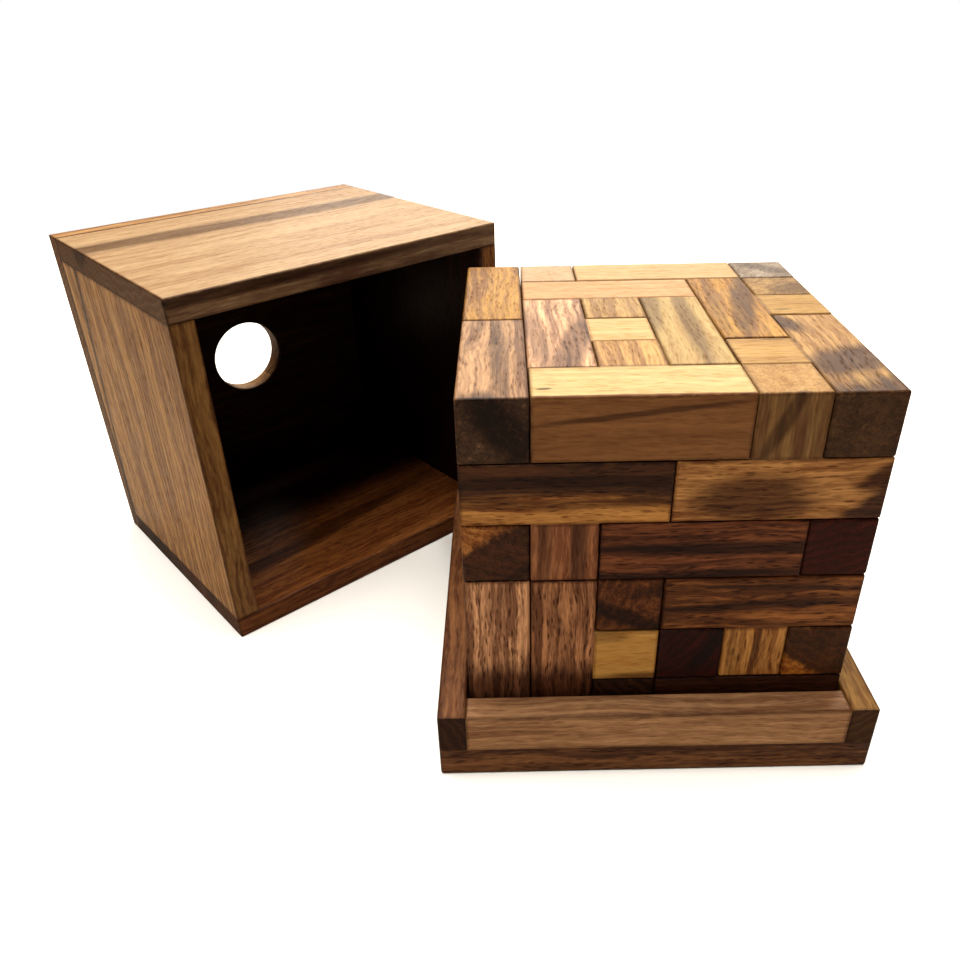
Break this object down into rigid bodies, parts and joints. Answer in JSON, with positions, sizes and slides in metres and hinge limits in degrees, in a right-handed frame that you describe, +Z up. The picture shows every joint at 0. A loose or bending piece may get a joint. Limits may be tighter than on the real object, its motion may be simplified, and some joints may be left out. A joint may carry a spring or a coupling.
{
  "type": "packing puzzle",
  "caption": "Wooden packing puzzle: T-shaped pieces fill a cube in a shallow square tray, with its box cover lying open beside it.",
  "frame": {"origin": "centre of the tray's underside", "axes": "+Z up from the table; +Y from the cube's front to its back; +X to its right; both along the tray's sides"},
  "size_m": [0.2999, 0.2476, 0.14],
  "materials": {
    "straw_wood": "satin oiled",
    "tan_wood": "satin oiled",
    "golden_wood": "satin oiled",
    "orange_wood": "satin oiled",
    "rose_wood": "satin oiled",
    "brown_wood": "satin oiled",
    "red_wood": "satin oiled",
    "umber_wood": "satin oiled",
    "dark_wood": "satin oiled",
    "tray_wood": "satin oiled",
    "cover_top_panel_wood": "satin oiled",
    "cover_upper_wall_wood": "satin oiled",
    "cover_lower_wall_wood": "satin oiled",
    "cover_left_wall_wood": "satin oiled",
    "cover_right_wall_wood": "satin oiled"
  },
  "bodies": {
    "tray": {"tray": "tray_wood"},
    "cover": {"cover_top_panel": "cover_top_panel_wood", "cover_upper_wall": "cover_upper_wall_wood", "cover_lower_wall": "cover_lower_wall_wood", "cover_left_wall": "cover_left_wall_wood", "cover_right_wall": "cover_right_wall_wood"},
    "tee_01_low_front_right": {"tee_01_low_front_right": "umber_wood"},
    "tee_02_low_front_middle": {"tee_02_low_front_middle": "brown_wood"},
    "tee_03_low_centre_left": {"tee_03_low_centre_left": "rose_wood"},
    "tee_04_low_centre_right": {"tee_04_low_centre_right": "red_wood"},
    "tee_05_low_centre_middle": {"tee_05_low_centre_middle": "tan_wood"},
    "tee_06_low_centre_middle": {"tee_06_low_centre_middle": "tan_wood"},
    "tee_07_low_back_left": {"tee_07_low_back_left": "umber_wood"},
    "tee_08_low_back_right": {"tee_08_low_back_right": "brown_wood"},
    "tee_09_low_front_left": {"tee_09_low_front_left": "red_wood"},
    "tee_10_low_front_left": {"tee_10_low_front_left": "brown_wood"},
    "tee_11_low_front_middle": {"tee_11_low_front_middle": "dark_wood"},
    "tee_12_low_front_right": {"tee_12_low_front_right": "umber_wood"},
    "tee_13_low_centre_left": {"tee_13_low_centre_left": "brown_wood"},
    "tee_14_low_centre_right": {"tee_14_low_centre_right": "golden_wood"},
    "tee_15_low_back_left": {"tee_15_low_back_left": "tan_wood"},
    "tee_16_low_back_right": {"tee_16_low_back_right": "tan_wood"},
    "tee_17_low_back_middle": {"tee_17_low_back_middle": "rose_wood"},
    "tee_18_mid_front_right": {"tee_18_mid_front_right": "brown_wood"},
    "tee_19_mid_front_left": {"tee_19_mid_front_left": "tan_wood"},
    "tee_20_mid_front_middle": {"tee_20_mid_front_middle": "umber_wood"},
    "tee_21_mid_centre_right": {"tee_21_mid_centre_right": "tan_wood"},
    "tee_22_mid_centre_left": {"tee_22_mid_centre_left": "brown_wood"},
    "tee_23_mid_centre_middle": {"tee_23_mid_centre_middle": "rose_wood"},
    "tee_24_mid_centre_right": {"tee_24_mid_centre_right": "tan_wood"},
    "tee_25_mid_back_left": {"tee_25_mid_back_left": "umber_wood"},
    "tee_26_mid_back_middle": {"tee_26_mid_back_middle": "brown_wood"},
    "tee_27_mid_back_right": {"tee_27_mid_back_right": "tan_wood"},
    "tee_28_mid_front_middle": {"tee_28_mid_front_middle": "brown_wood"},
    "tee_29_mid_front_left": {"tee_29_mid_front_left": "umber_wood"},
    "tee_30_mid_front_right": {"tee_30_mid_front_right": "red_wood"},
    "tee_31_mid_centre_right": {"tee_31_mid_centre_right": "brown_wood"},
    "tee_32_mid_centre_middle": {"tee_32_mid_centre_middle": "tan_wood"},
    "tee_33_mid_back_right": {"tee_33_mid_back_right": "brown_wood"},
    "tee_34_mid_back_left": {"tee_34_mid_back_left": "brown_wood"},
    "tee_35_mid_back_middle": {"tee_35_mid_back_middle": "rose_wood"},
    "tee_36_high_front_left": {"tee_36_high_front_left": "golden_wood"},
    "tee_37_high_front_right": {"tee_37_high_front_right": "golden_wood"},
    "tee_38_high_front_middle": {"tee_38_high_front_middle": "tan_wood"},
    "tee_39_high_centre_left": {"tee_39_high_centre_left": "brown_wood"},
    "tee_40_high_centre_right": {"tee_40_high_centre_right": "umber_wood"},
    "tee_41_high_centre_left": {"tee_41_high_centre_left": "golden_wood"},
    "tee_42_high_back_middle": {"tee_42_high_back_middle": "orange_wood"},
    "tee_43_high_back_right": {"tee_43_high_back_right": "tan_wood"},
    "tee_44_high_back_left": {"tee_44_high_back_left": "straw_wood"},
    "tee_45_high_back_right": {"tee_45_high_back_right": "umber_wood"},
    "tee_46_high_front_middle": {"tee_46_high_front_middle": "straw_wood"},
    "tee_47_high_front_left": {"tee_47_high_front_left": "rose_wood"},
    "tee_48_high_front_right": {"tee_48_high_front_right": "umber_wood"},
    "tee_49_high_centre_left": {"tee_49_high_centre_left": "rose_wood"},
    "tee_50_high_centre_middle": {"tee_50_high_centre_middle": "brown_wood"},
    "tee_51_high_centre_right": {"tee_51_high_centre_right": "brown_wood"},
    "tee_52_high_back_left": {"tee_52_high_back_left": "orange_wood"},
    "tee_53_high_back_middle": {"tee_53_high_back_middle": "straw_wood"},
    "tee_54_high_back_middle": {"tee_54_high_back_middle": "straw_wood"}
  },
  "joints": [
    {"name": "cover_lift", "type": "slide", "parent": "tray", "child": "cover", "axis": [0, 0, 1], "range_m": [0, 0.16]},
    {"name": "tee_08_low_back_right_slides_up", "type": "slide", "parent": "tray", "child": "tee_08_low_back_right", "axis": [0, 0, 1], "range_m": [0, 0.0165]},
    {"name": "tee_06_low_centre_middle_slides_up", "type": "slide", "parent": "tee_08_low_back_right", "child": "tee_06_low_centre_middle", "axis": [0, 0, 1], "range_m": [0, 0.022]},
    {"name": "tee_04_low_centre_right_slides_up", "type": "slide", "parent": "tee_06_low_centre_middle", "child": "tee_04_low_centre_right", "axis": [0, 0, 1], "range_m": [0, 0.022]},
    {"name": "tee_02_low_front_middle_slides_up", "type": "slide", "parent": "tee_04_low_centre_right", "child": "tee_02_low_front_middle", "axis": [0, 0, 1], "range_m": [0, 0.022]},
    {"name": "tee_01_low_front_right_slides_up", "type": "slide", "parent": "tee_02_low_front_middle", "child": "tee_01_low_front_right", "axis": [0, 0, 1], "range_m": [0, 0.022]},
    {"name": "tee_16_low_back_right_slides_up", "type": "slide", "parent": "tee_01_low_front_right", "child": "tee_16_low_back_right", "axis": [0, 0, 1], "range_m": [0, 0.102]},
    {"name": "tee_10_low_front_left_slides_up", "type": "slide", "parent": "tee_16_low_back_right", "child": "tee_10_low_front_left", "axis": [0, 0, 1], "range_m": [0, 0.122]},
    {"name": "tee_07_low_back_left_slides_up", "type": "slide", "parent": "tee_10_low_front_left", "child": "tee_07_low_back_left", "axis": [0, 0, 1], "range_m": [0, 0.122]},
    {"name": "tee_05_low_centre_middle_slides_up", "type": "slide", "parent": "tee_07_low_back_left", "child": "tee_05_low_centre_middle", "axis": [0, 0, 1], "range_m": [0, 0.122]},
    {"name": "tee_03_low_centre_left_slides_up", "type": "slide", "parent": "tee_05_low_centre_middle", "child": "tee_03_low_centre_left", "axis": [0, 0, 1], "range_m": [0, 0.122]},
    {"name": "tee_20_mid_front_middle_slides_up", "type": "slide", "parent": "tee_03_low_centre_left", "child": "tee_20_mid_front_middle", "axis": [0, 0, 1], "range_m": [0, 0.122]},
    {"name": "tee_19_mid_front_left_slides_up", "type": "slide", "parent": "tee_20_mid_front_middle", "child": "tee_19_mid_front_left", "axis": [0, 0, 1], "range_m": [0, 0.122]},
    {"name": "tee_09_low_front_left_slides_up", "type": "slide", "parent": "tee_19_mid_front_left", "child": "tee_09_low_front_left", "axis": [0, 0, 1], "range_m": [0, 0.122]},
    {"name": "tee_32_mid_centre_middle_slides_back", "type": "slide", "parent": "tee_20_mid_front_middle", "child": "tee_32_mid_centre_middle", "axis": [0, 1, 0], "range_m": [0, 0.092]},
    {"name": "tee_26_mid_back_middle_slides_back", "type": "slide", "parent": "tee_32_mid_centre_middle", "child": "tee_26_mid_back_middle", "axis": [0, 1, 0], "range_m": [0, 0.072]},
    {"name": "tee_14_low_centre_right_slides_forward", "type": "slide", "parent": "tee_01_low_front_right", "child": "tee_14_low_centre_right", "axis": [0, -1, 0], "range_m": [0, 0.112]},
    {"name": "tee_38_high_front_middle_slides_up", "type": "slide", "parent": "tee_09_low_front_left", "child": "tee_38_high_front_middle", "axis": [0, 0, 1], "range_m": [0, 0.062]},
    {"name": "tee_41_high_centre_left_slides_left", "type": "slide", "parent": "tee_20_mid_front_middle", "child": "tee_41_high_centre_left", "axis": [-1, 0, 0], "range_m": [0, 0.086]},
    {"name": "tee_42_high_back_middle_slides_back", "type": "slide", "parent": "tee_26_mid_back_middle", "child": "tee_42_high_back_middle", "axis": [0, 1, 0], "range_m": [0, 0.072]},
    {"name": "tee_15_low_back_left_slides_up", "type": "slide", "parent": "tee_20_mid_front_middle", "child": "tee_15_low_back_left", "axis": [0, 0, 1], "range_m": [0, 0.122]},
    {"name": "tee_21_mid_centre_right_slides_forward", "type": "slide", "parent": "tee_14_low_centre_right", "child": "tee_21_mid_centre_right", "axis": [0, -1, 0], "range_m": [0, 0.092]},
    {"name": "tee_23_mid_centre_middle_slides_left", "type": "slide", "parent": "tee_41_high_centre_left", "child": "tee_23_mid_centre_middle", "axis": [-1, 0, 0], "range_m": [0, 0.086]},
    {"name": "tee_25_mid_back_left_slides_up", "type": "slide", "parent": "tee_20_mid_front_middle", "child": "tee_25_mid_back_left", "axis": [0, 0, 1], "range_m": [0, 0.102]},
    {"name": "tee_40_high_centre_right_slides_up", "type": "slide", "parent": "tee_20_mid_front_middle", "child": "tee_40_high_centre_right", "axis": [0, 0, 1], "range_m": [0, 0.042]},
    {"name": "tee_11_low_front_middle_slides_forward", "type": "slide", "parent": "tee_21_mid_centre_right", "child": "tee_11_low_front_middle", "axis": [0, -1, 0], "range_m": [0, 0.072]},
    {"name": "tee_13_low_centre_left_slides_left", "type": "slide", "parent": "tee_23_mid_centre_middle", "child": "tee_13_low_centre_left", "axis": [-1, 0, 0], "range_m": [0, 0.072]},
    {"name": "tee_31_mid_centre_right_slides_right", "type": "slide", "parent": "tee_01_low_front_right", "child": "tee_31_mid_centre_right", "axis": [1, 0, 0], "range_m": [0, 0.072]},
    {"name": "tee_33_mid_back_right_slides_back", "type": "slide", "parent": "tee_26_mid_back_middle", "child": "tee_33_mid_back_right", "axis": [0, 1, 0], "range_m": [0, 0.072]},
    {"name": "tee_39_high_centre_left_slides_left", "type": "slide", "parent": "tee_09_low_front_left", "child": "tee_39_high_centre_left", "axis": [-1, 0, 0], "range_m": [0, 0.072]},
    {"name": "tee_12_low_front_right_slides_right", "type": "slide", "parent": "tee_14_low_centre_right", "child": "tee_12_low_front_right", "axis": [1, 0, 0], "range_m": [0, 0.052]},
    {"name": "tee_17_low_back_middle_slides_back", "type": "slide", "parent": "tee_26_mid_back_middle", "child": "tee_17_low_back_middle", "axis": [0, 1, 0], "range_m": [0, 0.052]},
    {"name": "tee_18_mid_front_right_slides_forward", "type": "slide", "parent": "tee_11_low_front_middle", "child": "tee_18_mid_front_right", "axis": [0, -1, 0], "range_m": [0, 0.032]},
    {"name": "tee_22_mid_centre_left_slides_left", "type": "slide", "parent": "tee_13_low_centre_left", "child": "tee_22_mid_centre_left", "axis": [-1, 0, 0], "range_m": [0, 0.032]},
    {"name": "tee_24_mid_centre_right_slides_right", "type": "slide", "parent": "tee_01_low_front_right", "child": "tee_24_mid_centre_right", "axis": [1, 0, 0], "range_m": [0, 0.032]},
    {"name": "tee_27_mid_back_right_slides_back", "type": "slide", "parent": "tee_33_mid_back_right", "child": "tee_27_mid_back_right", "axis": [0, 1, 0], "range_m": [0, 0.032]},
    {"name": "tee_28_mid_front_middle_slides_forward", "type": "slide", "parent": "tee_20_mid_front_middle", "child": "tee_28_mid_front_middle", "axis": [0, -1, 0], "range_m": [0, 0.052]},
    {"name": "tee_29_mid_front_left_slides_left", "type": "slide", "parent": "tee_39_high_centre_left", "child": "tee_29_mid_front_left", "axis": [-1, 0, 0], "range_m": [0, 0.032]},
    {"name": "tee_30_mid_front_right_slides_right", "type": "slide", "parent": "tee_31_mid_centre_right", "child": "tee_30_mid_front_right", "axis": [1, 0, 0], "range_m": [0, 0.032]},
    {"name": "tee_34_mid_back_left_slides_left", "type": "slide", "parent": "tee_15_low_back_left", "child": "tee_34_mid_back_left", "axis": [-1, 0, 0], "range_m": [0, 0.032]},
    {"name": "tee_35_mid_back_middle_slides_back", "type": "slide", "parent": "tee_42_high_back_middle", "child": "tee_35_mid_back_middle", "axis": [0, 1, 0], "range_m": [0, 0.032]},
    {"name": "tee_36_high_front_left_slides_forward", "type": "slide", "parent": "tee_09_low_front_left", "child": "tee_36_high_front_left", "axis": [0, -1, 0], "range_m": [0, 0.032]},
    {"name": "tee_37_high_front_right_slides_forward", "type": "slide", "parent": "tee_20_mid_front_middle", "child": "tee_37_high_front_right", "axis": [0, -1, 0], "range_m": [0, 0.032]},
    {"name": "tee_43_high_back_right_slides_right", "type": "slide", "parent": "tee_16_low_back_right", "child": "tee_43_high_back_right", "axis": [1, 0, 0], "range_m": [0, 0.032]},
    {"name": "tee_44_high_back_left_slides_back", "type": "slide", "parent": "tee_25_mid_back_left", "child": "tee_44_high_back_left", "axis": [0, 1, 0], "range_m": [0, 0.052]},
    {"name": "tee_45_high_back_right_slides_right", "type": "slide", "parent": "tee_42_high_back_middle", "child": "tee_45_high_back_right", "axis": [1, 0, 0], "range_m": [0, 0.052]},
    {"name": "tee_46_high_front_middle_slides_up", "type": "slide", "parent": "tee_38_high_front_middle", "child": "tee_46_high_front_middle", "axis": [0, 0, 1], "range_m": [0, 0.022]},
    {"name": "tee_47_high_front_left_slides_up", "type": "slide", "parent": "tee_09_low_front_left", "child": "tee_47_high_front_left", "axis": [0, 0, 1], "range_m": [0, 0.042]},
    {"name": "tee_48_high_front_right_slides_up", "type": "slide", "parent": "tee_40_high_centre_right", "child": "tee_48_high_front_right", "axis": [0, 0, 1], "range_m": [0, 0.022]},
    {"name": "tee_49_high_centre_left_slides_up", "type": "slide", "parent": "tee_38_high_front_middle", "child": "tee_49_high_centre_left", "axis": [0, 0, 1], "range_m": [0, 0.022]},
    {"name": "tee_50_high_centre_middle_slides_up", "type": "slide", "parent": "tee_38_high_front_middle", "child": "tee_50_high_centre_middle", "axis": [0, 0, 1], "range_m": [0, 0.042]},
    {"name": "tee_51_high_centre_right_slides_up", "type": "slide", "parent": "tee_40_high_centre_right", "child": "tee_51_high_centre_right", "axis": [0, 0, 1], "range_m": [0, 0.022]},
    {"name": "tee_52_high_back_left_slides_up", "type": "slide", "parent": "tee_15_low_back_left", "child": "tee_52_high_back_left", "axis": [0, 0, 1], "range_m": [0, 0.042]},
    {"name": "tee_53_high_back_middle_slides_up", "type": "slide", "parent": "tee_25_mid_back_left", "child": "tee_53_high_back_middle", "axis": [0, 0, 1], "range_m": [0, 0.022]},
    {"name": "tee_54_high_back_middle_slides_up", "type": "slide", "parent": "tee_42_high_back_middle", "child": "tee_54_high_back_middle", "axis": [0, 0, 1], "range_m": [0, 0.042]}
  ]
}
